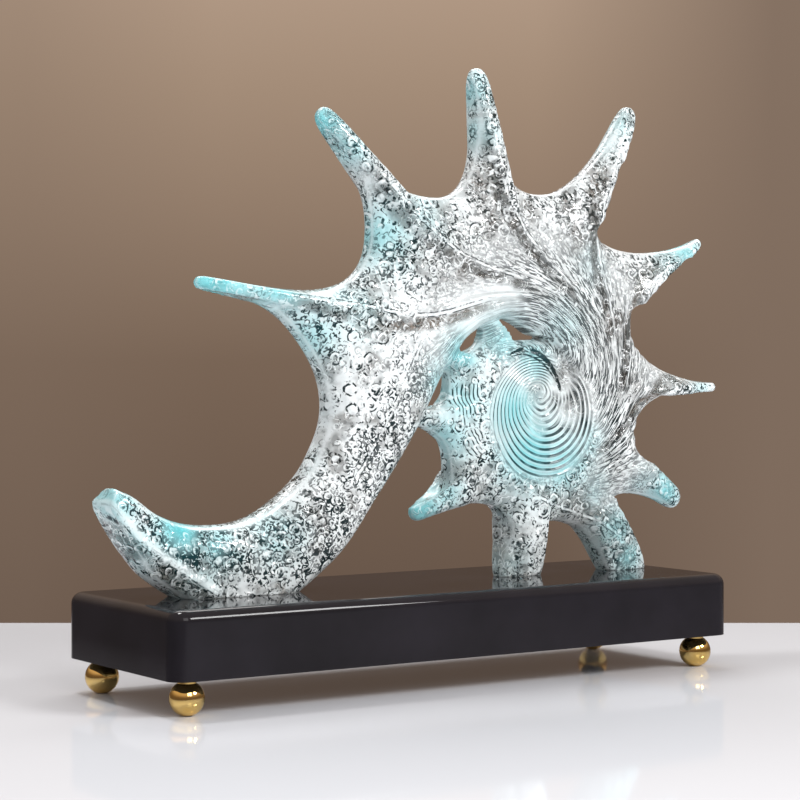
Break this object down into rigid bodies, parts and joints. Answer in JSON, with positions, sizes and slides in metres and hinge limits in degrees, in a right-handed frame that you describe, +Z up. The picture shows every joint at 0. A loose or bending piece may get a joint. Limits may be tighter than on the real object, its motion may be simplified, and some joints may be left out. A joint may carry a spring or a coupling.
{
  "type": "resin conch statue",
  "caption": "Clear cast resin spiral conch with tapered horns and a crescent tail, standing on a black base block with round ball feet.",
  "frame": {"origin": "middle of the footprint of the whole object, at table level under the ball feet", "axes": "+X along the base block with the tail at -X and the whorl at +X, +Y through the thickness of the shell to the back, +Z up"},
  "size_m": [0.3416, 0.102, 0.2827],
  "materials": {
    "clear_resin": "clear cast resin with an aqua tint and many trapped bubbles",
    "black_lacquer": "high gloss black lacquer",
    "polished_gold": "polished gold",
    "zinc_steel": "zinc plated"
  },
  "bodies": {
    "root": {"shell_casting": "clear_resin", "base_block": "black_lacquer", "ball_foot_1": "polished_gold", "ball_foot_2": "polished_gold", "ball_foot_3": "polished_gold", "ball_foot_4": "polished_gold", "foot_stud_1": "zinc_steel", "foot_stud_2": "zinc_steel", "foot_stud_3": "zinc_steel", "foot_stud_4": "zinc_steel", "screw_tail": "zinc_steel", "screw_left_leg": "zinc_steel", "screw_right_leg": "zinc_steel", "washer_tail": "zinc_steel", "washer_left_leg": "zinc_steel", "washer_right_leg": "zinc_steel"}
  },
  "joints": []
}
